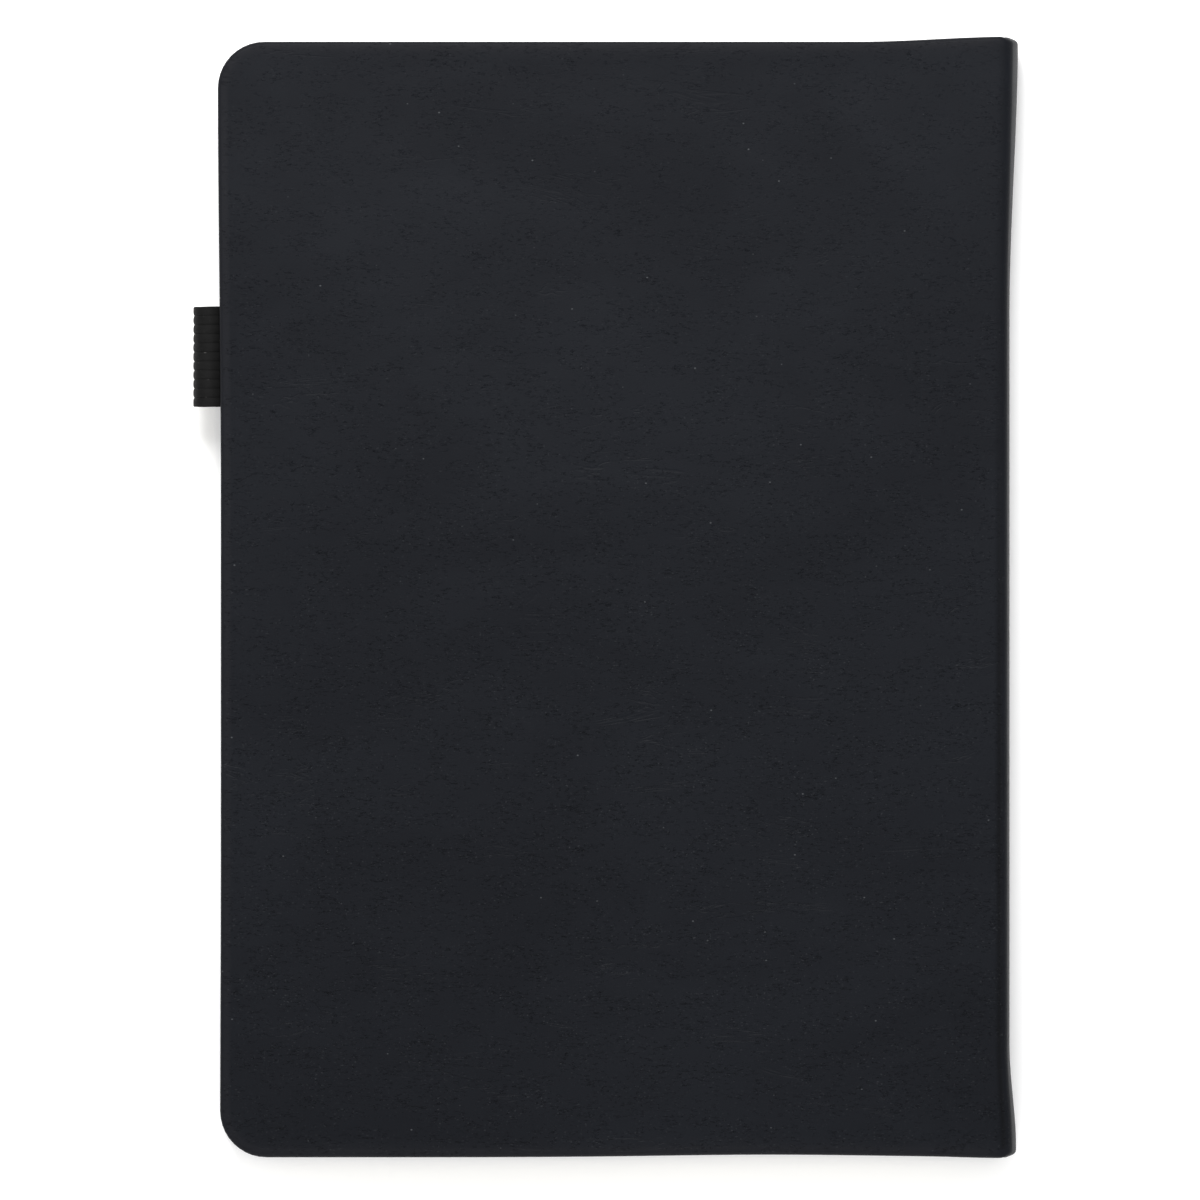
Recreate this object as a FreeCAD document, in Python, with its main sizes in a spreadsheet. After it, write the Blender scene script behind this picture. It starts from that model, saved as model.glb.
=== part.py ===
import FreeCAD, Part
import os
import Sketcher

# A case-bound A5 sketchbook, lying on its front cover with the back cover up.
# Millimetres. The origin is the centre of the front cover's outer face, on the surface
# that the book lies on. +Z is up, +X points to the spine and +Y to the head.
# Each cover swings on its joint beside the spine, and its end leaves fan out after it.

# alias, value, what it is
DIMENSIONS = [
    ("cover_width", 153.2, "fore-edge leather to spine leather"),
    ("cover_height", 216.0, "head to tail of the case"),
    ("corner_radius", 9.0, "case corners at the fore-edge"),
    ("leather_thickness", 0.7, "covering leather"),
    ("edge_round", 0.6, "roll of the leather over the board's edge"),
    ("board_thickness", 1.8, "grey board in each cover"),
    ("turn_in_thickness", 0.4, "leather skived thin where it is turned in"),
    ("turn_in_width", 14.0, "leather turned in over the board"),
    ("endpaper_thickness", 0.15, "pastedown sheet"),
    ("endpaper_inset", 3.0, "pastedown set back from the case's edge"),
    ("square", 3.2, "case standing past the pages at the fore-edge"),
    ("head_square", 3.0, "case standing past the pages at head and tail"),
    ("page_width", 146.8, "A5 page across, after its folds are trimmed and sewn"),
    ("page_corner", 6.0, "page corners at the fore-edge"),
    ("leaf_thickness", 0.16, "one leaf of drawing paper"),
    ("leaf_setback", 1.4, "from a leaf's fold line to the part that turns"),
    ("fold_depth", 0.8, "folded edge that stays in the spine"),
    ("mull_thickness", 0.3, "open cloth glued over the folds"),
    ("mull_inset", 2.0, "block left bare of cloth at head and tail"),
    ("flange_width", 25.0, "cloth glued down inside each cover"),
    ("liner_thickness", 0.25, "kraft paper over the cloth"),
    ("band_length", 12.0, "headband tape along the spine"),
    ("band_radius", 0.75, "headband bead"),
    ("band_room", 0.05, "gap between the bead and the spine's turned-in leather"),
    ("stiffener_thickness", 1.0, "card in the spine"),
    ("stiffener_inset", 0.3, "card set back from each side of the block"),
    ("strip_inset", 0.95, "glued spine leather set back from each side of the block"),
    ("board_gap", 3.7, "spine face to the board's back edge"),
    ("shoulder_radius", 1.6, "leather's turn from cover to spine"),
    ("thread_width", 0.5, "sewing thread laid along the folds"),
    ("thread_pitch", 34.0, "between sewing stations"),
    ("loop_width", 19.4, "webbing of the pen loop"),
    ("loop_centre", 46.8, "pen loop above the middle of the cover"),
    ("loop_bore", 3.25, "radius of the room for the pen"),
    ("webbing_thickness", 0.8, "elastic webbing"),
    ("loop_room", 0.3, "gap between the loop and the pages"),
    ("loop_tab", 12.0, "end of the webbing glued inside the cover"),
    ("tab_clearance", 0.2, "room round the glued end"),
]
SECTIONS = 8
LEAVES_IN_SECTION = 10
THREAD_STATIONS = 6

# Places that follow from the dimensions, each one bound to the sheet and to those above it.
DERIVED = [
    ("case_side", "Sizes.cover_width / 2"),
    ("case_half", "Sizes.cover_height / 2"),
    ("board_back", "Places.case_side - Sizes.board_gap"),
    ("board_fore", "Places.case_side - Sizes.leather_thickness"),
    ("board_half", "Places.case_half - Sizes.leather_thickness"),
    ("board_corner", "Sizes.corner_radius - Sizes.leather_thickness"),
    ("window_fore", "Places.board_fore - Sizes.turn_in_width"),
    ("window_half", "Places.board_half - Sizes.turn_in_width"),
    ("window_back", "Places.board_back - Sizes.flange_width"),
    ("endpaper_fore", "Places.case_side - Sizes.endpaper_inset"),
    ("endpaper_half", "Places.case_half - Sizes.endpaper_inset"),
    ("endpaper_corner", "Sizes.corner_radius - Sizes.endpaper_inset"),
    ("page_fore", "Places.case_side - Sizes.square"),
    ("page_half", "Places.case_half - Sizes.head_square"),
    ("fold_line", "Sizes.page_width - Places.page_fore"),
    ("leaf_back", "Places.fold_line - Sizes.leaf_setback"),
    ("fold_front", "Places.fold_line - Sizes.fold_depth"),
    ("mull_back", "Places.fold_line + Sizes.mull_thickness"),
    ("liner_back", "Places.mull_back + Sizes.liner_thickness"),
    ("mull_half", "Places.page_half - Sizes.mull_inset"),
    ("band_half", "Places.page_half - Sizes.band_length"),
    ("strip_front", "Places.case_side - Sizes.leather_thickness"),
    ("card_front", "Places.strip_front - Sizes.stiffener_thickness"),
    ("strip_turn_in", "Places.card_front - Sizes.turn_in_thickness"),
    ("shoulder_inner", "Sizes.shoulder_radius - Sizes.leather_thickness"),
    ("thread_reach", "Sizes.thread_pitch * %d / 2" % (THREAD_STATIONS - 1)),
    # distances in from a cover's outer face
    ("board_outer", "Sizes.leather_thickness"),
    ("board_inner", "Places.board_outer + Sizes.board_thickness"),
    ("turn_in_inner", "Places.board_inner + Sizes.turn_in_thickness"),
    ("cover_inner", "Places.turn_in_inner + Sizes.endpaper_thickness"),
    ("leaves_start", "Places.cover_inner + Sizes.leaf_thickness"),
    ("section_thickness", "Sizes.leaf_thickness * %d" % LEAVES_IN_SECTION),
    ("thickness", "2 * Places.leaves_start + Places.section_thickness * %d" % SECTIONS),
    ("tab_outer", "Places.turn_in_inner - Sizes.webbing_thickness"),
    ("loop_outer", "Sizes.loop_bore + Sizes.webbing_thickness"),
    ("loop_axis_x", "Places.page_fore + Sizes.loop_room + Places.loop_outer"),
    ("loop_axis_z", "Places.thickness - Places.turn_in_inner - Sizes.loop_bore"),
    ("tab_end", "Places.board_fore - Sizes.loop_tab"),
]

doc = FreeCAD.newDocument("sketchbook")
nodes = []


def make_sheet():
    """Put the driving dimensions in the sheet, one to a row, each with its alias."""
    sheet = doc.addObject("Spreadsheet::Sheet", "Sizes")
    for row, (alias, value, meaning) in enumerate(DIMENSIONS, start=1):
        sheet.set("A%d" % row, str(value))
        sheet.setAlias("A%d" % row, alias)
        sheet.set("B%d" % row, meaning)
    doc.recompute()


def make_places():
    """Bind every derived place to the sheet."""
    places = doc.addObject("App::VarSet", "Places")
    for name, expression in DERIVED:
        places.addProperty("App::PropertyFloat", name, "Places")
        places.setExpression(name, expression)
        doc.recompute()
    return places


def value_of(expression):
    """The present value of an expression in the sheet's names."""
    return float(doc.Places.evalExpression(expression))


def new_body(label):
    """A body that becomes one node."""
    body = doc.addObject("PartDesign::Body", label)
    body.Label = label
    nodes.append(body)
    return body


def new_sketch(body, name, plane="XY_Plane", offset="0"):
    """A sketch on one of the body's own origin planes, moved along its normal."""
    sketch = body.newObject("Sketcher::SketchObject", name)
    support = [o for o in body.Origin.OriginFeatures if o.Role == plane]
    sketch.AttachmentSupport = [(support[0], "")]
    sketch.MapMode = "FlatFace"
    sketch.setExpression("AttachmentOffset.Base.z", offset)
    return sketch


def bind(sketch, kind, *where, to):
    """Add a dimension to a sketch and bind it to an expression."""
    index = sketch.addConstraint(Sketcher.Constraint(kind, *where, value_of(to)))
    sketch.setExpression("Constraints[%d]" % index, to)


def bind_point(sketch, edge, end, across, up):
    """Hold an edge's end at a signed distance from the sketch's origin."""
    for kind, at in (("DistanceX", across), ("DistanceY", up)):
        if value_of(at) >= 0:
            bind(sketch, kind, -1, 1, edge, end, to=at)
        else:
            bind(sketch, kind, edge, end, -1, 1, to="-(%s)" % at)


def vector(across, up):
    """A sketch point from two expressions."""
    return FreeCAD.Vector(value_of(across), value_of(up), 0)


def polygon(sketch, corners):
    """A closed outline through corners given as pairs of expressions."""
    count = len(corners)
    first = sketch.GeometryCount
    for i, corner in enumerate(corners):
        here = vector(*corner)
        there = vector(*corners[(i + 1) % count])
        sketch.addGeometry(Part.LineSegment(here, there), False)
    for i, corner in enumerate(corners):
        before = first + (i - 1) % count
        sketch.addConstraint(Sketcher.Constraint("Coincident", before, 2, first + i, 1))
        bind_point(sketch, first + i, 1, *corner)


def rectangle(sketch, left, right, low, high):
    """A rectangle between four signed distances."""
    polygon(sketch, [(left, low), (right, low), (right, high), (left, high)])


def leaf_outline(sketch, fore, back, half, corner):
    """A page's or a cover's outline: square at the back edge and round at the fore-edge."""
    x_fore, x_back = -value_of(fore), value_of(back)
    y, r = value_of(half), value_of(corner)
    line, centre = Part.LineSegment, FreeCAD.Vector
    quarter = 1.5707963267948966
    normal = centre(0, 0, 1)
    top = Part.Circle(centre(x_fore + r, y - r, 0), normal, r)
    bottom = Part.Circle(centre(x_fore + r, r - y, 0), normal, r)
    sketch.addGeometry(line(centre(x_back, -y, 0), centre(x_back, y, 0)), False)
    sketch.addGeometry(line(centre(x_back, y, 0), centre(x_fore + r, y, 0)), False)
    sketch.addGeometry(Part.ArcOfCircle(top, quarter, 2 * quarter), False)
    sketch.addGeometry(line(centre(x_fore, y - r, 0), centre(x_fore, r - y, 0)), False)
    sketch.addGeometry(Part.ArcOfCircle(bottom, 2 * quarter, 3 * quarter), False)
    sketch.addGeometry(line(centre(x_fore + r, -y, 0), centre(x_back, -y, 0)), False)
    for rule in (
        ("Coincident", 0, 2, 1, 1),
        ("Tangent", 1, 2, 2, 1),
        ("Tangent", 2, 2, 3, 1),
        ("Tangent", 3, 2, 4, 1),
        ("Tangent", 4, 2, 5, 1),
        ("Coincident", 5, 2, 0, 1),
        ("Vertical", 0),
        ("Vertical", 3),
        ("Horizontal", 1),
        ("Horizontal", 5),
    ):
        sketch.addConstraint(Sketcher.Constraint(*rule))
    bind(sketch, "DistanceX", -1, 1, 0, 1, to=back)
    bind(sketch, "DistanceX", 3, 1, -1, 1, to=fore)
    bind(sketch, "DistanceY", -1, 1, 0, 2, to=half)
    bind(sketch, "DistanceY", 0, 1, -1, 1, to=half)
    bind(sketch, "Radius", 2, to=corner)
    bind(sketch, "Radius", 4, to=corner)


def pad(body, name, draw, low, high):
    """Raise the outline that draw makes, from low up to high."""
    sketch = new_sketch(body, name + "_outline", offset=low)
    draw(sketch)
    feature = body.newObject("PartDesign::Pad", name)
    feature.Profile = sketch
    feature.setExpression("Length", "(%s) - (%s)" % (high, low))
    doc.recompute()
    return feature


def pocket(body, name, draw, low, high):
    """Cut the outline that draw makes away from high down to low."""
    before = body.Shape.Volume
    sketch = new_sketch(body, name + "_outline", offset=high)
    draw(sketch)
    feature = body.newObject("PartDesign::Pocket", name)
    feature.Profile = sketch
    feature.setExpression("Length", "(%s) - (%s)" % (high, low))
    doc.recompute()
    if not body.Shape.Volume < before:
        raise RuntimeError("%s in %s cut nothing" % (name, body.Label))
    return feature


def pad_across(body, name, draw, centre, width):
    """Run an outline drawn on the XZ plane along Y, evenly each side of centre."""
    sketch = new_sketch(body, name + "_outline", "XZ_Plane", "-(%s)" % centre)
    draw(sketch)
    feature = body.newObject("PartDesign::Pad", name)
    feature.Profile = sketch
    feature.Midplane = True
    feature.setExpression("Length", width)
    doc.recompute()
    return feature


def slab(side, near, far):
    """The heights between two distances in from a cover's outer face."""
    if side == "front":
        return near, far
    return "Places.thickness - (%s)" % far, "Places.thickness - (%s)" % near


def make_board(side):
    """The grey board, with a shallow bed for the pen loop's glued end in the back one."""
    body = new_body(side + "_board")

    def outline(sketch):
        fore, back = "Places.board_fore", "Places.board_back"
        leaf_outline(sketch, fore, back, "Places.board_half", "Places.board_corner")

    pad(body, side + "_board_sheet", outline, *slab(side, "Places.board_outer", "Places.board_inner"))
    if side == "back":
        pocket(body, "board_bed", loop_bed, *slab(side, "Places.tab_outer", "Places.board_inner"))


def loop_bed(sketch):
    """The footprint of the pen loop's glued end with the room round it."""
    room = "Sizes.loop_width / 2 + Sizes.tab_clearance"
    low = "Sizes.loop_centre - (%s)" % room
    high = "Sizes.loop_centre + (%s)" % room
    right = "-(Places.tab_end - Sizes.tab_clearance)"
    rectangle(sketch, "-(Places.case_side + 1)", right, low, high)


def make_cover_leather(side):
    """The covering leather, wrapped round three edges of the board and turned in."""
    body = new_body(side + "_cover_leather")

    def outline(sketch):
        fore, back = "Places.case_side", "Places.board_back"
        leaf_outline(sketch, fore, back, "Places.case_half", "Sizes.corner_radius")

    def board_room(sketch):
        fore, back = "Places.board_fore", "Places.board_back + 1"
        leaf_outline(sketch, fore, back, "Places.board_half", "Places.board_corner")

    def window(sketch):
        low, high = "-Places.window_half", "Places.window_half"
        rectangle(sketch, "-Places.window_fore", "Places.board_back + 1", low, high)

    name = side + "_leather"
    pad(body, name + "_wrap", outline, *slab(side, "0", "Places.turn_in_inner"))
    pocket(body, name + "_board_room", board_room, *slab(side, "Places.board_outer", "Places.board_inner"))
    pocket(body, name + "_window", window, *slab(side, "Places.board_inner", "Places.turn_in_inner"))
    if side == "back":
        pocket(body, "leather_loop_slot", loop_bed, *slab(side, "Places.tab_outer", "Places.turn_in_inner"))
    face = 0.0 if side == "front" else value_of("Places.thickness")
    back = value_of("Places.board_back")
    rim = [
        "Edge%d" % (i + 1)
        for i, edge in enumerate(body.Shape.Edges)
        if all(abs(v.Z - face) < 1e-6 for v in edge.Vertexes)
        and not all(abs(v.X - back) < 1e-6 for v in edge.Vertexes)
    ]
    wrapped = body.Tip
    roll = body.newObject("PartDesign::Fillet", name + "_roll")
    roll.Base = (wrapped, rim)
    roll.setExpression("Radius", "min(Sizes.edge_round; Sizes.leather_thickness * 0.9)")
    doc.recompute()
    body.Tip = roll


def make_pastedown(side):
    """The glued half of the endpaper, stepping down from the turn-ins to the bare board."""
    body = new_body(side + "_pastedown")

    def outline(sketch):
        fore, back = "Places.endpaper_fore", "Places.board_back"
        leaf_outline(sketch, fore, back, "Places.endpaper_half", "Places.endpaper_corner")

    def well(sketch):
        low, high = "-Places.window_half", "Places.window_half"
        rectangle(sketch, "-Places.window_fore", "Places.window_back", low, high)

    def hollow(sketch):
        wall = "Sizes.endpaper_thickness"
        low = "-(Places.window_half - %s)" % wall
        high = "Places.window_half - %s" % wall
        left = "-(Places.window_fore - %s)" % wall
        rectangle(sketch, left, "Places.window_back - %s" % wall, low, high)

    name = side + "_paper"
    sheet_foot = "Places.board_inner + Sizes.endpaper_thickness"
    pad(body, name + "_sheet", outline, *slab(side, "Places.turn_in_inner", "Places.cover_inner"))
    pad(body, name + "_well", well, *slab(side, "Places.board_inner", "Places.turn_in_inner"))
    pocket(body, name + "_hollow", hollow, *slab(side, sheet_foot, "Places.cover_inner"))


def make_flange(side):
    """The spine cloth's flange, glued flush with the turn-ins under the pastedown."""
    body = new_body(side + "_mull_flange")

    def outline(sketch):
        low, high = "-Places.window_half", "Places.window_half"
        rectangle(sketch, "Places.window_back", "Places.board_back", low, high)

    pad(body, side + "_flange", outline, *slab(side, "Places.board_inner", "Places.turn_in_inner"))


def make_leaf(label, side, near, far):
    """One turning leaf between two distances in from a cover's outer face."""
    body = new_body(label)

    def outline(sketch):
        fore, back = "Places.page_fore", "Places.leaf_back"
        leaf_outline(sketch, fore, back, "Places.page_half", "Sizes.page_corner")

    pad(body, label + "_sheet", outline, *slab(side, near, far))


def make_end_leaves(side):
    """The flyleaf and the ten leaves of the section next to this cover."""
    make_leaf(side + "_flyleaf", side, "Places.cover_inner", "Places.leaves_start")
    for i in range(LEAVES_IN_SECTION):
        near = "Places.leaves_start + Sizes.leaf_thickness * %d" % i
        far = "Places.leaves_start + Sizes.leaf_thickness * %d" % (i + 1)
        make_leaf("%s_leaf_%d" % (side, i + 1), side, near, far)


def make_section(number):
    """A sewn section, counted from the front. The two end ones are only their folds."""
    end = number in (1, SECTIONS)
    body = new_body("section_%d%s" % (number, "_fold" if end else ""))

    def outline(sketch):
        if end:
            low, high = "-Places.page_half", "Places.page_half"
            rectangle(sketch, "Places.fold_front", "Places.fold_line", low, high)
        else:
            fore, back = "Places.page_fore", "Places.fold_line"
            leaf_outline(sketch, fore, back, "Places.page_half", "Sizes.page_corner")

    low = "Places.leaves_start + Places.section_thickness * %d" % (number - 1)
    high = "Places.leaves_start + Places.section_thickness * %d" % number
    pad(body, "section_%d_pages" % number, outline, low, high)


def make_mull():
    """The open cloth on the folds, parted at each sewing station to let the thread lie flat."""
    body = new_body("spine_mull")
    low, high = slab("front", "Places.leaves_start", "Places.thickness - Places.leaves_start")

    def outline(sketch):
        rectangle(sketch, "Places.fold_line", "Places.mull_back", "-Places.mull_half", "Places.mull_half")

    def station(sketch):
        bottom = "-(Places.thread_reach + Sizes.thread_width / 2)"
        top = "-(Places.thread_reach - Sizes.thread_width / 2)"
        rectangle(sketch, "Places.fold_line - 1", "Places.mull_back + 1", bottom, top)

    pad(body, "mull_cloth", outline, low, high)
    bottom, top = low + " + Sizes.mull_thickness", high + " - Sizes.mull_thickness"
    slot = pocket(body, "mull_station", station, bottom, top)
    stations = body.newObject("PartDesign::LinearPattern", "mull_stations")
    stations.Originals = [slot]
    stations.Direction = (slot.Profile[0], ["V_Axis"])
    stations.Occurrences = THREAD_STATIONS
    stations.setExpression("Length", "2 * Places.thread_reach")
    body.Tip = stations
    doc.recompute()


def make_thread():
    """A run of sewing thread in each of the cloth's gaps."""
    runs = []
    for i in range(THREAD_STATIONS):
        run = doc.addObject("Part::Box", "thread_run_%d" % (i + 1))
        run.setExpression("Length", "Sizes.mull_thickness")
        run.setExpression("Width", "Sizes.thread_width")
        run.setExpression("Height", "Places.section_thickness * %d - 2 * Sizes.mull_thickness" % SECTIONS)
        run.setExpression("Placement.Base.x", "Places.fold_line")
        station = "Sizes.thread_pitch * %d - Places.thread_reach" % i
        run.setExpression("Placement.Base.y", station + " - Sizes.thread_width / 2")
        run.setExpression("Placement.Base.z", "Places.leaves_start + Sizes.mull_thickness")
        runs.append(run)
    thread = doc.addObject("Part::Compound", "sewing_thread")
    thread.Label = "sewing_thread"
    thread.Links = runs
    nodes.append(thread)
    doc.recompute()


def make_liner():
    """The kraft paper over the cloth, between the two headbands."""
    body = new_body("spine_liner")

    def outline(sketch):
        rectangle(sketch, "Places.mull_back", "Places.liner_back", "-Places.band_half", "Places.band_half")

    pad(body, "liner_paper", outline, "Places.leaves_start", "Places.thickness - Places.leaves_start")


def make_band(label, sign):
    """A headband: a woven bead at the end of the block and its tape on the spine."""
    body = new_body(label)
    low = "Places.cover_inner + Sizes.stiffener_inset"
    high = "Places.thickness - Places.cover_inner - Sizes.stiffener_inset"
    bead_up = "%s(Places.page_half + Sizes.band_radius)" % sign
    bead_out = "Places.strip_turn_in - Sizes.band_room - Sizes.band_radius"

    def bead(sketch):
        sketch.addGeometry(Part.Circle(vector(bead_out, bead_up), FreeCAD.Vector(0, 0, 1), 1), False)
        bind(sketch, "Radius", 0, to="Sizes.band_radius")
        bind_point(sketch, 0, 3, bead_out, bead_up)

    def tape(sketch):
        ends = sorted(["%sPlaces.band_half" % sign, bead_up], key=value_of)
        rectangle(sketch, "Places.mull_back", "Places.liner_back", *ends)

    pad(body, label + "_bead", bead, low, high)
    pad(body, label + "_tape", tape, low, high)


def make_spine():
    """The card that keeps the spine square and the leather glued round it."""
    card = new_body("spine_stiffener")
    low = "Places.cover_inner + Sizes.stiffener_inset"
    high = "Places.thickness - Places.cover_inner - Sizes.stiffener_inset"

    def card_outline(sketch):
        rectangle(sketch, "Places.card_front", "Places.strip_front", "-Places.board_half", "Places.board_half")

    pad(card, "card_strip", card_outline, low, high)

    leather = new_body("spine_leather")

    def strip_outline(sketch):
        outer, inner = "Places.case_side", "Places.strip_front"
        lip, behind = "Places.strip_turn_in", "Places.card_front"
        polygon(
            sketch,
            [
                (lip, "-Places.case_half"),
                (outer, "-Places.case_half"),
                (outer, "Places.case_half"),
                (lip, "Places.case_half"),
                (lip, "Places.window_half"),
                (behind, "Places.window_half"),
                (behind, "Places.board_half"),
                (inner, "Places.board_half"),
                (inner, "-Places.board_half"),
                (behind, "-Places.board_half"),
                (behind, "-Places.window_half"),
                (lip, "-Places.window_half"),
            ],
        )

    low = "Places.cover_inner + Sizes.strip_inset"
    high = "Places.thickness - Places.cover_inner - Sizes.strip_inset"
    pad(leather, "leather_strip", strip_outline, low, high)


def make_joint_leather(side):
    """The leather that flexes between a board and the spine, turned over a round shoulder."""
    body = new_body(side + "_joint_leather")
    sign = "" if side == "front" else "Places.thickness - "
    outside, inside = "Places.case_side", "Places.strip_front"
    back = "Places.board_back"
    foot = "(Places.cover_inner + Sizes.strip_inset)"
    skin = "Places.board_outer"
    outer_turn = "Sizes.shoulder_radius"
    centre_x = "(Places.case_side - Sizes.shoulder_radius)"

    def height(distance):
        return sign + distance

    def outline(sketch):
        points = [
            (inside, height(foot)),
            (outside, height(foot)),
            (outside, height(outer_turn)),
            (centre_x, height("0")),
            (back, height("0")),
            (back, height(skin)),
            (centre_x, height(skin)),
            (inside, height(outer_turn)),
        ]
        centre = vector(centre_x, height(outer_turn))
        towards = -1 if side == "front" else 1
        ends = []
        for i, point in enumerate(points):
            here, there = vector(*point), vector(*points[(i + 1) % len(points)])
            forward = True
            if i in (2, 6):
                radius = (here - centre).Length if i == 2 else (there - centre).Length
                middle = centre + FreeCAD.Vector(1, towards, 0).normalize() * radius
                forward = (here - centre).cross(there - centre).z > 0
                first, last = (here, there) if forward else (there, here)
                sketch.addGeometry(Part.Arc(first, middle, last), False)
            else:
                sketch.addGeometry(Part.LineSegment(here, there), False)
            ends.append(((i, 1), (i, 2)) if forward else ((i, 2), (i, 1)))
        for i, point in enumerate(points):
            sketch.addConstraint(Sketcher.Constraint("Coincident", *ends[i - 1][1], *ends[i][0]))
            bind_point(sketch, *ends[i][0], *point)
        bind(sketch, "Radius", 2, to=outer_turn)
        bind(sketch, "Radius", 6, to="Places.shoulder_inner")

    pad_across(body, side + "_shoulder", outline, "0", "Sizes.cover_height")


def make_pen_loop():
    """The elastic webbing loop under the back cover's fore-edge, with its glued end."""
    body = new_body("pen_loop")
    axis_x, axis_z = "-Places.loop_axis_x", "Places.loop_axis_z"

    def ring(sketch):
        for index, radius in enumerate(("Places.loop_outer", "Sizes.loop_bore")):
            centre = vector(axis_x, axis_z)
            circle = Part.Circle(centre, FreeCAD.Vector(0, 0, 1), value_of(radius))
            sketch.addGeometry(circle, False)
            bind(sketch, "Radius", index, to=radius)
            bind_point(sketch, index, 3, axis_x, axis_z)

    def tab(sketch):
        low, high = slab("back", "Places.tab_outer", "Places.turn_in_inner")
        rectangle(sketch, axis_x, "-Places.tab_end", low, high)

    pad_across(body, "loop_ring", ring, "Sizes.loop_centre", "Sizes.loop_width")
    pad_across(body, "loop_tab_end", tab, "Sizes.loop_centre", "Sizes.loop_width")


def check_and_write():
    """Stop on anything that failed to build, then write one file for each node."""
    doc.recompute()
    for thing in doc.Objects:
        if {"Invalid", "Error"} & set(thing.State):
            raise RuntimeError("%s failed: %s" % (thing.Label, thing.State))
    for node in nodes:
        if node.Shape.isNull() or not node.Shape.isValid():
            raise RuntimeError("%s has no valid shape" % node.Label)
    os.makedirs("parts", exist_ok=True)
    for node in nodes:
        node.Shape.exportStep("parts/%s.step" % node.Label)
        box = node.Shape.BoundBox
        print(
            "%-22s x %7.2f %7.2f  y %7.2f %7.2f  z %6.2f %6.2f  %9.1f mm3  %d"
            % (
                node.Label, box.XMin, box.XMax, box.YMin, box.YMax, box.ZMin, box.ZMax,
                node.Shape.Volume, len(node.Shape.Solids),
            )
        )


make_sheet()
make_places()
for cover in ("front", "back"):
    make_board(cover)
    make_cover_leather(cover)
    make_pastedown(cover)
    make_flange(cover)
    make_end_leaves(cover)
    make_joint_leather(cover)
for section in range(1, SECTIONS + 1):
    make_section(section)
make_mull()
make_thread()
make_liner()
make_band("head_band", "")
make_band("tail_band", "-")
make_spine()
make_pen_loop()
check_and_write()
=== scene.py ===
"""Looks of a case-bound A5 sketchbook that lies on its front cover with the back cover up.

Each sub-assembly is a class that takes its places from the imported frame, builds its surfaces
with numpy and dresses them. Metres, +Z up, +X to the spine, +Y to the head.
"""
import logging
import math
from dataclasses import dataclass
from enum import Enum

import bpy
import numpy as np
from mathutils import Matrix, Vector


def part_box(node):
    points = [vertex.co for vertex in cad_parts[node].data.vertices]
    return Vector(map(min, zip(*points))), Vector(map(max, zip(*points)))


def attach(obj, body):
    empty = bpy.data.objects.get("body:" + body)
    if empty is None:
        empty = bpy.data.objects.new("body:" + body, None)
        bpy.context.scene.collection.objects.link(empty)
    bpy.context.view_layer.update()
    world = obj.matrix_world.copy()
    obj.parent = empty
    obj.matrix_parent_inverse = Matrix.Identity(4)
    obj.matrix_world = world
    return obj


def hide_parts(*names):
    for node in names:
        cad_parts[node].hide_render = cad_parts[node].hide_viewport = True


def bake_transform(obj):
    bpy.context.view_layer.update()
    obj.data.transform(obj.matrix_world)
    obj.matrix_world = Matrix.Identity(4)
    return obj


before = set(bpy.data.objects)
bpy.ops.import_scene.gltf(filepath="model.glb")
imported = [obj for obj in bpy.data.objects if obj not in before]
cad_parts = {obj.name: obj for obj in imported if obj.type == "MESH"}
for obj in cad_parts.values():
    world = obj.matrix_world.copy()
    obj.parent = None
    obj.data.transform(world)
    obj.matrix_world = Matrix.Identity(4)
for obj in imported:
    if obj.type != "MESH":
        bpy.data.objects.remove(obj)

MM = 0.001
ROOT = "text_block"
SHARP_ANGLE = math.radians(38)
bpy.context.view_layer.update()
WAVE_UNIT = 20.0  # radians that the wave pattern turns in one unit
log = logging.getLogger("sketchbook")

Triple = tuple[float, float, float]
Pair = tuple[float, float]
Array = np.ndarray
Surface = tuple[Array, Array]
Socket = bpy.types.NodeSocket
Piece = bpy.types.Object


class Side(Enum):
    """Which cover a piece belongs to. The book lies on the front one."""

    FRONT = "front"
    BACK = "back"


# ---- surfaces


def smooth(t: Array) -> Array:
    """Rise from 0 to 1 as t does, with level ends: 3t^2 - 2t^3, held outside."""
    t = np.clip(t, 0.0, 1.0)
    return t * t * (3.0 - 2.0 * t)


def ramp(v: Array, start: float, length: float) -> Array:
    """Rise from 0 where v is at the start to 1 a length further on, as smooth does."""
    return smooth((v - start) / length)


def grid_quads(rows: int, columns: int, start: int = 0) -> Array:
    """Number the quads of a grid of points.

    Args:
        rows: Points down the grid.
        columns: Points across it.
        start: Index of the grid's first point.

    Returns:
        One row of four indices for each quad, turning from columns to rows.
    """
    row, column = np.mgrid[0 : rows - 1, 0 : columns - 1]
    corner = start + row * columns + column
    quads = np.stack([corner, corner + 1, corner + 1 + columns, corner + columns], -1)
    return quads.reshape(-1, 4)


def rim_indices(rows: int, columns: int) -> Array:
    """List a grid's outer points once round, along the first row first."""
    index = np.arange(rows * columns).reshape(rows, columns)
    return np.concatenate(
        [index[0, :], index[1:, -1], index[-1, -2::-1], index[-2:0:-1, 0]]
    )


def outward(points: Array, quads: Array) -> bool:
    """Say whether a closed mesh's quads face outwards, from the sign of its volume."""
    a, b, c, d = (points[quads[:, i]] for i in range(4))
    volume = (a * (np.cross(b, c) + np.cross(c, d))).sum()
    return bool(volume > 0)


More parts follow.
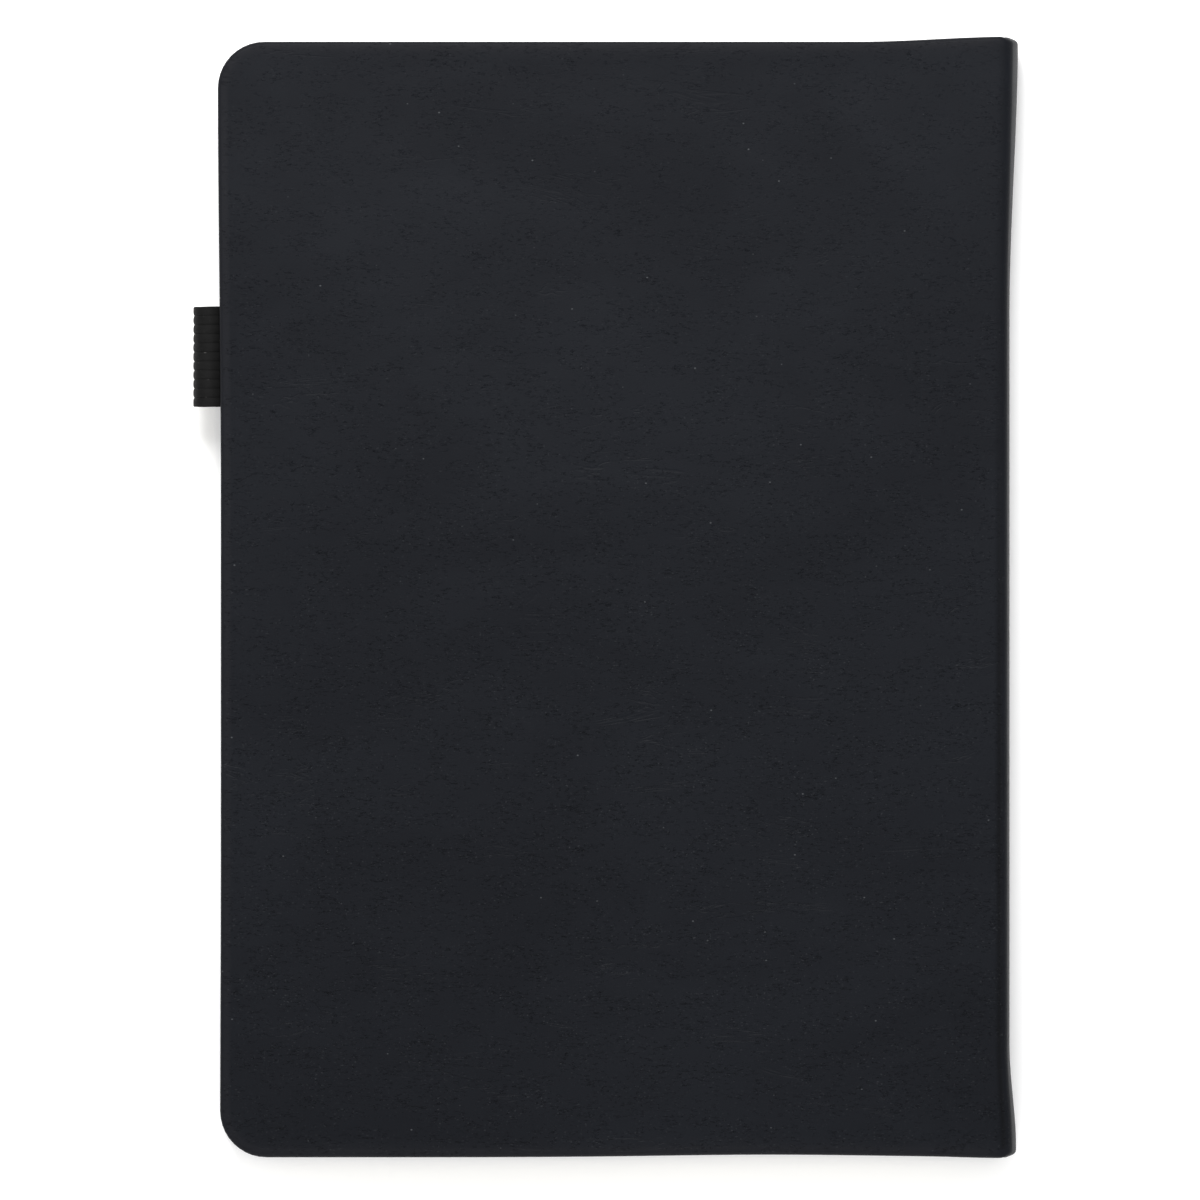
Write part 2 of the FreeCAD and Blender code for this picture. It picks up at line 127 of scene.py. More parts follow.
def make_mesh(
    name: str,
    points: Array,
    quads: Array,
    caps: list[list[int]] | None = None,
    uv: Array | None = None,
) -> Piece:
    """Put a closed surface in the scene with its faces outwards.

    Args:
        name: The piece's name.
        points: One row of x, y, z for each vertex.
        quads: One row of four vertex indices for each face.
        caps: Further faces with more corners.
        uv: One row of u, v for each vertex, if the finish follows the surface.

    Returns:
        The new object, smooth except at its sharp edges.
    """
    faces = quads.tolist() + [list(cap) for cap in caps or []]
    if not outward(points - points.mean(0), quads):
        faces = [face[::-1] for face in faces]
    mesh = bpy.data.meshes.new(name)
    mesh.from_pydata(points.tolist(), [], faces)
    mesh.polygons.foreach_set("use_smooth", np.ones(len(mesh.polygons), bool))
    if uv is not None:
        corners = np.zeros(len(mesh.loops), np.int32)
        mesh.loops.foreach_get("vertex_index", corners)
        layer = mesh.uv_layers.new(name="along")
        layer.data.foreach_set("uv", uv[corners].astype(np.float32).ravel())
    mesh.update()
    mesh.set_sharp_from_angle(angle=SHARP_ANGLE)
    piece = bpy.data.objects.new(name, mesh)
    bpy.context.scene.collection.objects.link(piece)
    return piece


def shell(top: Array, bottom: Array) -> Surface:
    """Close two matching grids into a solid sheet with a wall round their rims.

    Args:
        top: Rows x columns x 3 points of one face.
        bottom: The same of the other face.

    Returns:
        The points and the quads.
    """
    rows, columns = top.shape[:2]
    count = rows * columns
    rim = rim_indices(rows, columns)
    after = np.roll(rim, -1)
    wall = np.stack([rim + count, after + count, after, rim], -1)
    quads = np.concatenate(
        [grid_quads(rows, columns), grid_quads(rows, columns, count)[:, ::-1], wall]
    )
    return np.concatenate([top.reshape(-1, 3), bottom.reshape(-1, 3)]), quads


def stack(*parts: Surface) -> Surface:
    """Join several solids' points and quads into one pair of arrays."""
    starts = np.cumsum([0] + [len(points) for points, _ in parts])
    quads = [q + start for (_, q), start in zip(parts, starts)]
    return np.concatenate([p for p, _ in parts]), np.concatenate(quads)


def ripple(x: Array, y: Array, seed: int, wave: float) -> Array:
    """Gentle unevenness between -1 and 1: a few sine waves in seeded directions.

    Args:
        x: Places across, in metres.
        y: Places up, in metres.
        seed: Which unevenness.
        wave: Typical length of a wave, in metres.

    Returns:
        The sum of the waves, scaled to stay within 1.
    """
    chance = np.random.default_rng(seed)
    total = np.zeros(np.broadcast(x, y).shape)
    count = 7
    for _ in range(count):
        turn, shift = chance.uniform(0, 2 * math.pi, 2)
        length = wave * chance.uniform(0.6, 1.9)
        along = x * math.cos(turn) + y * math.sin(turn)
        total = total + np.sin(2 * math.pi * along / length + shift)
    return total / count


@dataclass(frozen=True)
class Outline:
    """A leaf's outline: square at the spine, round at the fore-edge, even about y = 0."""

    fore: float
    back: float
    half: float
    corner: float

    @classmethod
    def of(cls, node: str, corner: float, back: float | None = None) -> "Outline":
        """Take an outline from a CAD node's box, with its corner radius."""
        low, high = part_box(node)
        return cls(low.x, high.x if back is None else back, high.y, corner)

    def inset(self, by: float) -> "Outline":
        """The same outline drawn in by a distance on its three outer sides."""
        return Outline(self.fore + by, self.back, self.half - by, self.corner - by)

    def columns(self, turn: int, run: int) -> Array:
        """Places across, close together round the corner: fore + r(1 - cos phi)."""
        phi = np.linspace(0, math.pi / 2, turn + 1)
        arc = self.fore + self.corner * (1 - np.cos(phi))
        rest = np.linspace(self.fore + self.corner, self.back, run + 1)
        return np.concatenate([arc, rest[1:]])

    def half_at(self, x: Array) -> Array:
        """Half the height at each place across: less the corner's circle."""
        t = np.clip((self.fore + self.corner - x) / self.corner, 0, 1)
        return self.half - self.corner * (1 - np.sqrt(1 - t * t))

    def grid(self, x: Array, rows: int) -> Surface:
        """Points that fill the outline: each column is spread over its own height."""
        up = np.linspace(-1, 1, rows)[:, None]
        return np.broadcast_to(x, (rows, len(x))), up * self.half_at(x)[None, :]


@dataclass(frozen=True)
class CaseForm:
    """The true, slightly uneven form of the case, as small shifts of its ideal form.

    The spine stands proudest at head and tail, where the leather is turned in, and the
    spine face is a little rounded. Lengths are in metres.
    """

    half: float
    thickness: float
    middle_pull: float = 0.85 * MM
    middle_round: float = 0.70 * MM
    shoulder_flare: float = 0.75 * MM
    head_flare: float = 0.90 * MM
    tail_flare: float = 0.53 * MM
    bulge_power: float = 2.4
    spine_corner: float = 0.65 * MM
    spine_lift: float = 1.0 * MM
    spine_drop: float = 0.2 * MM
    tail_waist: float = 0.5 * MM
    fore_pull: float = 0.22 * MM
    fore_head: float = 0.6 * MM
    fore_tail: float = 0.15 * MM

    def head(self, y: Array) -> Array:
        """How far the flare at the head has grown: 0 below 55 mm, 1 at the head."""
        return ramp(y, 55 * MM, 53 * MM)

    def tail(self, y: Array) -> Array:
        """The same at the tail, where it is shorter."""
        return ramp(-y, 86 * MM, 20 * MM)

    def shoulder(self, y: Array) -> Array:
        """Shift of the spine's shoulder across, from its place in the frame."""
        return -self.middle_pull + self.shoulder_flare * (self.head(y) + self.tail(y))

    def roundness(self, y: Array) -> Array:
        """How far the spine face stands past its shoulder at mid thickness."""
        return self.middle_round + self.head_flare * self.head(y) + self.tail_flare * self.tail(y)

    def bulge(self, z: Array) -> Array:
        """Share of the roundness at a height: 1 less a power of how far it is from the middle."""
        return 1 - np.abs(2 * z / self.thickness - 1) ** self.bulge_power

    def shift(self, x: Array, y: Array, spine: Array) -> Surface:
        """Shift of a place on the case.

        The fore-edge leans in towards the head. Up the book, the head rises to the spine,
        the tail has a waist before the spine, and the spine's two corners are rounded.

        Args:
            x: Places across.
            y: Places up.
            spine: Share of the spine's roundness that each place takes.

        Returns:
            The shifts across and up.
        """
        fore_head = self.fore_head * ramp(y, 20 * MM, 85 * MM)
        fore_tail = self.fore_tail * ramp(-y, 50 * MM, 55 * MM)
        across = self.shoulder(y) * ramp(x, 48 * MM, 24 * MM) + self.roundness(y) * spine
        across = across + (self.fore_pull - fore_head - fore_tail) * ramp(-x, 40 * MM, 36 * MM)
        lift = self.spine_lift * ramp(x, 47 * MM, 30 * MM)
        waist = self.tail_waist * np.exp(-(((x - 30 * MM) / (30 * MM)) ** 2))
        drop = self.spine_drop * ramp(x, 60 * MM, 14 * MM)
        corner = ramp(x, 74.4 * MM, 2.2 * MM) * ramp(np.abs(y), 98 * MM, 9 * MM)
        up = lift * ramp(y, 50 * MM, 58 * MM) - np.sign(y) * self.spine_corner * corner
        up = up + (waist - drop) * ramp(-y, 60 * MM, 48 * MM)
        return across, up


# ---- finishes


@dataclass(frozen=True)
class Pattern:
    """A noise on the object: scale is in repeats per millimetre along each axis.

    The rest is as the noise texture names it, but span: the strengths that become the two
    ends of to. Without a span the strength stays as it is.
    """

    scale: Triple
    detail: float
    roughness: float
    distortion: float = 0.0
    span: Pair | None = None
    to: Pair = (0.0, 1.0)


class Graph:
    """A material's node tree, with short calls to add and join nodes."""

    def __init__(self, name: str) -> None:
        """Start an empty material with a Principled surface."""
        self.material = bpy.data.materials.new(name)
        self.material.use_nodes = True
        self.tree = self.material.node_tree
        self.surface = self.tree.nodes["Principled BSDF"]

    def add(self, kind: str, **values: object) -> bpy.types.Node:
        """Add a node and set its named properties."""
        node = self.tree.nodes.new(kind)
        for key, value in values.items():
            setattr(node, key, value)
        return node

    def join(self, source: Socket, target: Socket) -> None:
        """Link two sockets."""
        self.tree.links.new(source, target)

    def place(self) -> Socket:
        """Object coordinates in metres."""
        return self.add("ShaderNodeTexCoord").outputs["Object"]

    def axis(self, name: str) -> Socket:
        """One of the object coordinates: X, Y or Z."""
        node = self.add("ShaderNodeSeparateXYZ")
        self.join(self.place(), node.inputs["Vector"])
        return node.outputs[name]

    def scaled(self, scale: Triple) -> Socket:
        """Object coordinates in repeats per millimetre along each axis."""
        mapping = self.add("ShaderNodeMapping")
        mapping.inputs["Scale"].default_value = [s / MM for s in scale]
        self.join(self.place(), mapping.inputs["Vector"])
        return mapping.outputs["Vector"]

    def noise(self, pattern: Pattern) -> Socket:
        """A noise pattern's strength."""
        node = self.add("ShaderNodeTexNoise")
        node.inputs["Scale"].default_value = 1.0
        node.inputs["Detail"].default_value = pattern.detail
        node.inputs["Roughness"].default_value = pattern.roughness
        node.inputs["Distortion"].default_value = pattern.distortion
        self.join(self.scaled(pattern.scale), node.inputs["Vector"])
        if pattern.span is None:
            return node.outputs["Fac"]
        return self.remap(node.outputs["Fac"], *pattern.span, *pattern.to)

    def wave(self, where: Socket, axis: str, rate: float, **inputs: float) -> Socket:
        """A wave pattern's strength, at a rate in radians per metre along an axis."""
        node = self.add("ShaderNodeTexWave", bands_direction=axis)
        node.inputs["Scale"].default_value = rate / WAVE_UNIT
        for name, value in inputs.items():
            node.inputs[name.replace("_", " ").title()].default_value = value
        self.join(where, node.inputs["Vector"])
        return node.outputs["Fac"]

    def share(self, name: str) -> Socket:
        """A share that is stored on the surface's points."""
        return self.add("ShaderNodeAttribute", attribute_name=name).outputs["Fac"]

    def remap(
        self, source: Socket, low: float, high: float, to_low: float = 0.0, to_high: float = 1.0
    ) -> Socket:
        """Stretch a strength from one span to another, held at its ends."""
        node = self.add("ShaderNodeMapRange")
        for socket, value in zip(node.inputs[1:5], (low, high, to_low, to_high)):
            socket.default_value = value
        self.join(source, node.inputs[0])
        return node.outputs[0]

    def math(self, kind: str, first: Socket, second: Socket | float) -> Socket:
        """One arithmetic step on strengths."""
        node = self.add("ShaderNodeMath", operation=kind)
        self.join(first, node.inputs[0])
        if isinstance(second, float):
            node.inputs[1].default_value = second
        else:
            self.join(second, node.inputs[1])
        return node.outputs[0]

    def times(self, first: Socket, *others: Socket | float) -> Socket:
        """The product of strengths."""
        for other in others:
            first = self.math("MULTIPLY", first, other)
        return first

    def mix(self, share: Socket, first: Socket | Triple, second: Socket | Triple) -> Socket:
        """Mix two colours by a strength."""
        node = self.add("ShaderNodeMix", data_type="RGBA")
        self.join(share, node.inputs["Factor"])
        for socket, colour in zip((node.inputs[6], node.inputs[7]), (first, second)):
            if isinstance(colour, tuple):
                socket.default_value = (*colour, 1.0)
            else:
                self.join(colour, socket)
        return node.outputs[2]

    def bump(
        self, height: Socket, depth: float, strength: float = 1.0, after: Socket | None = None
    ) -> Socket:
        """Raise the surface by a strength times a depth in metres."""
        node = self.add("ShaderNodeBump")
        node.inputs["Strength"].default_value = strength
        node.inputs["Distance"].default_value = depth
        self.join(height, node.inputs["Height"])
        if after is not None:
            self.join(after, node.inputs["Normal"])
        return node.outputs["Normal"]

    def finish(
        self,
        colour: Socket,
        normal: Socket,
        roughness: Socket | float,
        specular: float = 0.5,
        sheen: float = 0.0,
    ) -> bpy.types.Material:
        """Join the results to the surface and give back the material."""
        self.join(colour, self.surface.inputs["Base Color"])
        self.join(normal, self.surface.inputs["Normal"])
        if isinstance(roughness, float):
            self.surface.inputs["Roughness"].default_value = roughness
        else:
            self.join(roughness, self.surface.inputs["Roughness"])
        self.surface.inputs["Specular IOR Level"].default_value = specular
        self.surface.inputs["Sheen Weight"].default_value = sheen
        return self.material


@dataclass(frozen=True)
class CoverLeather:
    """Matte black covering with a fine grain that runs across the book."""

    dark: Triple = (0.0030, 0.0036, 0.0054)
    light: Triple = (0.0041, 0.0049, 0.0070)
    # Tints for painted shade in the creases, for pale dust and painted glints, for a painted
    # highlight on the rim and for painted shade in the joint's groove.
    crease_shade: Triple = (0.0008, 0.0010, 0.0016)
    dust_and_glint: Triple = (0.055, 0.058, 0.062)
    rim_highlight: Triple = (0.0062, 0.0065, 0.0084)
    joint_shade: Triple = (0.0022, 0.0022, 0.0023)
    crease_shade_share: float = 0.11
    joint_shade_share: float = 0.55
    rim_highlight_share: float = 0.8
    roughness: Pair = (0.59, 0.53)
    joint_roughness: float = 0.25
    specular: float = 0.077
    cloud: Pattern = Pattern((0.022, 0.034, 0.034), 3.0, 0.55, 0.6)
    patch: Pattern = Pattern((0.13, 0.19, 0.19), 3.0, 0.6, 0.0, (0.35, 0.7), (-0.15, 0.15))
    grain: Pattern = Pattern((0.60, 3.2, 3.2), 2.0, 0.6, 0.12)
    grain_width: float = 0.032
    worked: Pattern = Pattern((0.16, 0.30, 0.30), 3.0, 0.55, 0.0, (0.36, 0.62), (0.12, 1.0))
    breaks: Pattern = Pattern((0.9, 2.0, 2.0), 2.0, 0.6, 0.0, (0.50, 0.60))
    calm_between: Pair = (-50.0 * MM, 85.0 * MM)
    calm_share: float = 0.40
    fold: Pattern = Pattern((0.030, 0.13, 0.13), 4.0, 0.55, 0.9)
    fold_width: float = 0.014
    fold_places: Pattern = Pattern((0.05, 0.09, 0.09), 1.0, 0.5, 0.0, (0.56, 0.66))
    fold_share: float = 0.65
    mark_depth: float = 0.12 * MM
    glint: Pattern = Pattern((2.2, 3.4, 3.4), 1.0, 0.5, 0.0, (0.66, 0.75), (0.0, 0.26))
    spot_scale: Triple = (0.23, 0.31, 0.31)
    spot_radius: Pair = (0.028, 0.055)
    spot_places: Pattern = Pattern((0.21, 0.27, 0.27), 1.0, 0.5, 0.0, (0.52, 0.56))
    spot_share: float = 0.7
    swell: Pattern = Pattern((0.045, 0.07, 0.07), 2.0, 0.5)
    swell_depth: float = 0.35 * MM
    pores: Pattern = Pattern((2.0, 4.2, 4.2), 2.0, 0.6)
    pore_depth: float = 0.035 * MM

    def lines(self, g: Graph, pattern: Pattern, width: float) -> Socket:
        """Thin lines where a pattern is at a half: 1 on the line and 0 beside it."""
        away = g.math("ABSOLUTE", g.math("SUBTRACT", g.noise(pattern), 0.5), 0.0)
        return g.remap(away, 0.0, width, 1.0, 0.0)

    def marks(self, g: Graph) -> tuple[Socket, Socket]:
        """Short creases and a few long ones, fewer towards the head.

        Returns:
            The creases' strength, and how worked the leather is.
        """
        calm = g.remap(g.axis("Y"), *self.calm_between, 1.0, self.calm_share)
        worked = g.times(g.noise(self.worked), calm)
        creases = g.times(self.lines(g, self.grain, self.grain_width), worked, g.noise(self.breaks))
        folds = g.times(self.lines(g, self.fold, self.fold_width), g.noise(self.fold_places))
        folds = g.times(folds, g.times(calm, self.fold_share))
        return g.math("MAXIMUM", creases, folds), worked

    def spots(self, g: Graph) -> Socket:
        """Rare round specks of dust: the centres of some of a cell pattern's cells."""
        cells = g.add("ShaderNodeTexVoronoi", feature="F1")
        cells.inputs["Scale"].default_value = 1.0
        g.join(g.scaled(self.spot_scale), cells.inputs["Vector"])
        spot = g.remap(cells.outputs["Distance"], *self.spot_radius, 1.0, 0.0)
        return g.times(spot, g.noise(self.spot_places), self.spot_share)

    def material(self) -> bpy.types.Material:
        """Cloudy tone, creases darkened with painted shade, pores, pale dust specks, painted
        glints, a dull joint with painted shade in its groove, and a painted highlight on the rim.
        """
        g = Graph("cover_leather")
        clouds = g.noise(self.cloud)
        marks, worked = self.marks(g)
        joint, rim = g.share("fold"), g.share("rim")
        tone = g.math("ADD", g.remap(clouds, 0.36, 0.66), g.noise(self.patch))
        colour = g.mix(tone, self.dark, self.light)
        # Painted shade: the creases and folds are darkened in the colour.
        colour = g.mix(g.times(marks, self.crease_shade_share), colour, self.crease_shade)
        # Painted shade: the joint's groove is darkened in the colour.
        colour = g.mix(g.times(joint, self.joint_shade_share), colour, self.joint_shade)
        # Painted highlight: the rolled rim is lightened in the colour, less towards the spine.
        colour = g.mix(g.times(rim, self.rim_highlight_share), colour, self.rim_highlight)
        # Painted glints: small light points mixed into the colour where the leather is worked. The
        # same pale tint also serves the dust specks below.
        colour = g.mix(g.times(g.noise(self.glint), worked), colour, self.dust_and_glint)
        colour = g.mix(self.spots(g), colour, self.dust_and_glint)
        normal = g.bump(g.noise(self.swell), self.swell_depth, 0.5)
        normal = g.bump(g.noise(self.pores), self.pore_depth, 0.5, normal)
        normal = g.bump(g.times(marks, -1.0), self.mark_depth, 1.0, normal)
        rough = g.remap(clouds, 0.3, 0.7, *self.roughness)
        rough = g.math("ADD", rough, g.times(joint, self.joint_roughness))
        return g.finish(colour, normal, rough, self.specular)


@dataclass(frozen=True)
class Paper:
    """Uncoated paper: a faint fibre, a faint tooth and a little cloudiness."""

    name: str
    tint: Triple
    shade: float = 0.94
    fibre: Pattern = Pattern((0.5, 1.4, 1.4), 4.0, 0.65, 0.8)
    cloud: Pattern = Pattern((0.03, 0.03, 0.03), 3.0, 0.6)
    tooth: Pattern = Pattern((3.0, 3.0, 3.0), 3.0, 0.7)
    depth: float = 0.03 * MM

    def material(self) -> bpy.types.Material:
        """Mottled tint with fibres and a fine tooth."""
        g = Graph(self.name)
        darker = tuple(self.shade * value for value in self.tint)
        mottle = g.math("ADD", g.noise(self.fibre), g.times(g.noise(self.cloud), 0.8))
        colour = g.mix(g.remap(mottle, 0.65, 1.15), darker, self.tint)
        return g.finish(colour, g.bump(g.noise(self.tooth), self.depth, 0.5), 0.86, 0.25)


@dataclass(frozen=True)
class Board:
    """Grey bookbinder's board: pressed waste fibres with pale and dark flecks."""

    tint: Triple = (0.30, 0.285, 0.26)
    shade: float = 0.66
    fleck: Pattern = Pattern((0.9, 2.2, 2.2), 5.0, 0.7, 0.5)
    depth: float = 0.12 * MM

    def material(self) -> bpy.types.Material:
        """Flecked grey with a rough pressed face."""
        g = Graph("grey_board")
        fleck = g.noise(self.fleck)
        dark = tuple(self.shade * value for value in self.tint)
        colour = g.mix(g.remap(fleck, 0.35, 0.65), dark, self.tint)
        return g.finish(colour, g.bump(fleck, self.depth, 0.6), 0.92, 0.2)


@dataclass(frozen=True)
class Weave:
    """Plain-woven cloth or thread, with its yarns as crossed waves.

    yarns is in radians per millimetre, as the wave pattern turns.
    """

    name: str
    tint: Triple
    shadow: Triple
    yarns: float
    fuzz: Pattern = Pattern((4.0, 4.0, 4.0), 3.0, 0.7)
    depth: float = 0.08 * MM

    def material(self) -> bpy.types.Material:
        """Crossed yarns: the higher of two wave patterns, with a little unevenness."""
        g = Graph(self.name)
        rate = self.yarns / MM
        waves = [g.wave(g.place(), axis, rate, distortion=0.6, detail=1.0) for axis in ("Y", "Z")]
        yarn = g.math("MAXIMUM", waves[0], waves[1])
        height = g.math("ADD", yarn, g.times(g.noise(self.fuzz), 0.4))
        colour = g.mix(g.remap(height, 0.5, 1.3), self.shadow, self.tint)
        return g.finish(colour, g.bump(height, self.depth, 0.8), 0.88, 0.2, 0.15)


@dataclass(frozen=True)
class Webbing:
    """Black ribbed elastic. Its pattern follows the band: u along it, v across it."""

    tint: Triple = (0.0080, 0.0079, 0.0080)
    shadow: Triple = (0.0015, 0.0015, 0.0015)
    lint_tint: Triple = (0.16, 0.155, 0.15)
    lint: Pattern = Pattern((1.1, 3.0, 1.1), 2.0, 0.5, 0.0, (0.72, 0.80), (0.0, 0.35))
    fuzz: Pattern = Pattern((1.2, 2.6, 1.2), 4.0, 0.75, 0.4)
    picks: float = 1.5
    depth: float = 0.09 * MM
    # The painted shadow of the back cover: where it starts, where it is darkest, and how dark it
    # gets there.
    clear: float = -80.6 * MM
    cover_shadow: float = -76.8 * MM
    cover_shadow_share: float = 0.75

    def material(self) -> bpy.types.Material:
        """Fine picks across the band with painted shade between them, a painted shadow of the cover
        that darkens it towards the cover's edge, and stray lint.
        """
        g = Graph("elastic_webbing")
        where = g.add("ShaderNodeUVMap", uv_map="along").outputs["UV"]
        pick = g.wave(where, "X", self.picks / MM, distortion=1.2, detail=2.0, detail_scale=2.5)
        height = g.math("ADD", pick, g.times(g.noise(self.fuzz), 1.2))
        colour = g.mix(g.remap(height, 0.5, 1.7), self.shadow, self.tint)
        # Painted shadow: the band is darkened towards the cover's edge, as if the cover shades it.
        cover_shadow = g.remap(g.axis("X"), self.clear, self.cover_shadow, 0.0, self.cover_shadow_share)
        colour = g.mix(cover_shadow, colour, self.shadow)
        colour = g.mix(g.noise(self.lint), colour, self.lint_tint)
        return g.finish(colour, g.bump(height, self.depth, 0.8), 0.8, 0.08, 0.02)


@dataclass(frozen=True)
class BandCloth:
    """Headband cloth: black and ivory threads wound in turn round a cord."""

    dark: Triple = (0.012, 0.012, 0.014)
    pale: Triple = (0.62, 0.58, 0.48)
    pitch: float = 0.8 * MM
    fine: Pattern = Pattern((2.0, 2.0, 6.0), 3.0, 0.6)
    depth: float = 0.06 * MM

    def material(self) -> bpy.types.Material:
        """Stripes up the band with a thread's fine relief."""
        g = Graph("band_cloth")
        stripe = g.wave(g.place(), "Z", math.pi / self.pitch)
        colour = g.mix(g.remap(stripe, 0.42, 0.58), self.dark, self.pale)
        return g.finish(colour, g.bump(g.noise(self.fine), self.depth, 0.7), 0.8, 0.3, 0.1)


class Wardrobe:
    """Every finish of the book, made once, by the record's slot names."""

    def __init__(self) -> None:
        """Make the materials."""
        self.by_slot = {
            "cover_leather": CoverLeather().material(),
            "endpaper": Paper("endpaper", (0.56, 0.525, 0.435)).material(),
            "page_paper": Paper("page_paper", (0.60, 0.565, 0.475), 0.92).material(),
            "kraft_liner": Paper("kraft_liner", (0.36, 0.23, 0.12), 0.8).material(),
            "grey_board": Board().material(),
            "spine_cloth": Weave(
                "spine_cloth", (0.62, 0.60, 0.54), (0.25, 0.24, 0.21), 1.1
            ).material(),
            "thread": Weave("thread", (0.74, 0.71, 0.63), (0.4, 0.38, 0.32), 2.4).material(),
            "elastic_webbing": Webbing().material(),
            "band_cloth": BandCloth().material(),
        }

    def dress(self, piece: Piece, slot: str) -> None:
        """Give a new piece the finish of a slot."""
        piece.data.materials.clear()
        piece.data.materials.append(self.by_slot[slot])

    def fit(self, piece: Piece, slot: str, node: str, body: str) -> None:
        """Dress a piece that stands for a CAD node and rides on a body."""
        self.dress(piece, slot)
        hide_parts(node)
        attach(piece, body)
        log.info("%s", piece.name)

    def dress_node(self, node: str, slot: str) -> None:
        """Give a CAD node that stays its finish."""
        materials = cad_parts[node].data.materials
        materials.clear()
        materials.append(self.by_slot[slot])


# ---- the case


@dataclass
class HalfCase:
    """One half of the leather: from mid spine, round the shoulder and over the board.

    The surface is worked out flat first. A place is (s, y, d): s runs from the fore-edge to
    mid spine along the outer face, y up the book, and d is the depth below that face. The
    leather rolls over the board's edges and is turned in on its inner side.
    """

    side: Side
    form: CaseForm
    fore: float
    back: float
    board_end: float
    corner: float = 9.0 * MM
    shoulder_radius: float = 1.6 * MM
    leather: float = 0.7 * MM
    turn_in: float = 0.4 * MM
    turn_in_width: float = 8.0 * MM
    edge_roll: float = 0.75 * MM
    cover_depth: float = 2.9 * MM
    joint_depth: float = 1.3 * MM
    spine_depth: float = 2.1 * MM
    border: float = 2.0 * MM
    groove_at: float = 75.2 * MM
    groove_depth: float = 0.20 * MM
    groove_width: float = 0.55 * MM
    groove_at_head: float = 0.25
    unevenness: float = 0.07 * MM
    level: float = 1.4 * MM
    inner_roll: float = 0.35 * MM
    strip: float = 3.2 * MM
    tuck: float = 0.3 * MM
    rows: int = 121
    # How much painted highlight the face's rim takes, and how many rings of the rolled edge take
    # all of it.
    rim_edge: float = 0.35
    rim_rings: int = 8

    def arc_start(self) -> float:
        """Where along s the shoulder's arc begins."""
        return self.back - self.shoulder_radius

    def arc_end(self) -> float:
        """Where it ends: a quarter turn later."""
        return self.arc_start() + self.shoulder_radius * math.pi / 2

    def middle(self) -> float:
        """Where along s the spine's mid line lies."""
        return self.arc_end() + self.form.thickness / 2 - self.shoulder_radius

    def depth(self, s: Array) -> Array:
        """Full depth of the wrapped edge: over the board, at the joint, over the card."""
        to_joint = ramp(s, self.board_end, 0.9 * MM)
        to_spine = ramp(s, self.arc_end(), 1.0 * MM)
        deep = self.cover_depth + (self.joint_depth - self.cover_depth) * to_joint
        return deep + (self.spine_depth - self.joint_depth) * to_spine

    def bend(self, s: Array, y: Array, d: Array) -> Array:
        """Carry flat places to the book: level, then a quarter turn, then straight down.

        Args:
            s: Distance along the outer face, equal to x on the cover.
            y: Places up the book.
            d: Depth below the outer face.

        Returns:
            Rows of x, y, z after the case's own uneven form is added.
        """
        radius = self.shoulder_radius
        turn = np.clip((s - self.arc_start()) / radius, 0, math.pi / 2)
        down = np.maximum(s - self.arc_end(), 0)
        x = np.minimum(s, self.arc_start()) + (radius - d) * np.sin(turn)
        z = self.form.thickness - radius + (radius - d) * np.cos(turn) - down
        across, up = self.form.shift(x, y, ramp(s, 72 * MM, 5 * MM) * self.form.bulge(z))
        if self.side is Side.FRONT:
            z = self.form.thickness - z
        return np.stack([x + across, y + up, z], -1)

    def face_depth(self, s: Array, y: Array) -> Array:
        """Low places of the outer face: the joint's groove and a faint unevenness."""
        seed = 11 if self.side is Side.BACK else 12
        wave, fine = ripple(s, y, seed, 60 * MM), ripple(s, y, seed + 2, 14 * MM)
        fade = smooth((self.form.half - np.abs(y)) / (6 * MM)) * ramp(s, self.fore, 6 * MM)
        fade = fade * smooth((74 * MM - s) / (6 * MM))
        uneven = self.unevenness * (0.55 * wave + 0.35 * fine - 0.5) * fade
        return self.groove_depth * self.fold(s, y) - uneven

    def fold(self, s: Array, y: Array) -> Array:
        """Share of the joint's fold at a place: a bell curve, fainter at the head."""
        kept = self.groove_at_head + (1 - self.groove_at_head) * smooth((60 * MM - y) / (90 * MM))
        return np.exp(-(((s - self.groove_at) / self.groove_width) ** 2)) * kept

    def columns(self, line: Outline) -> Array:
        """Places along s, close together at the corner, the joint and the shoulder."""
        across = [
            line.columns(10, 58)[:-1],
            np.linspace(self.board_end - 1.2 * MM, self.arc_start(), 22),
            np.linspace(self.arc_start(), self.arc_end(), 17),
            np.linspace(self.arc_end(), self.middle(), 10),
        ]
        across = np.unique(np.round(np.concatenate(across), 9))
        gap = (across >= self.board_end - 2.4 * MM) & (across < self.board_end - 1.3 * MM)
        return across[~gap]

    def profile(self) -> list[Triple]:
        """The wrapped edge: level, roll, small roll, turned-in strip, its end, and back.

        Returns:
            How far each line lies in from the edge, its depth, and its share of the full depth.
        """
        roll, small, width = self.edge_roll, self.inner_roll, self.turn_in_width
        quarter, short = np.linspace(0, math.pi / 2, 6), np.linspace(0, math.pi / 2, 4)
        lines = [(self.level, 0.0, 0.0)]
        lines += [(roll * (1 - math.sin(t)), roll * (1 - math.cos(t)), 0.0) for t in quarter]
        lines += [(small * (1 - math.cos(t)), small * (math.sin(t) - 1), 1.0) for t in short]
        return lines + [
            (self.strip, 0.0, 1.0),
            (width, 0.0, 1.0),
            (width, -self.turn_in, 1.0),
            (self.leather + self.tuck, -self.turn_in, 1.0),
            (self.leather, self.tuck + self.leather, 0.0),
            (self.leather + self.tuck, self.leather, 0.0),
        ]

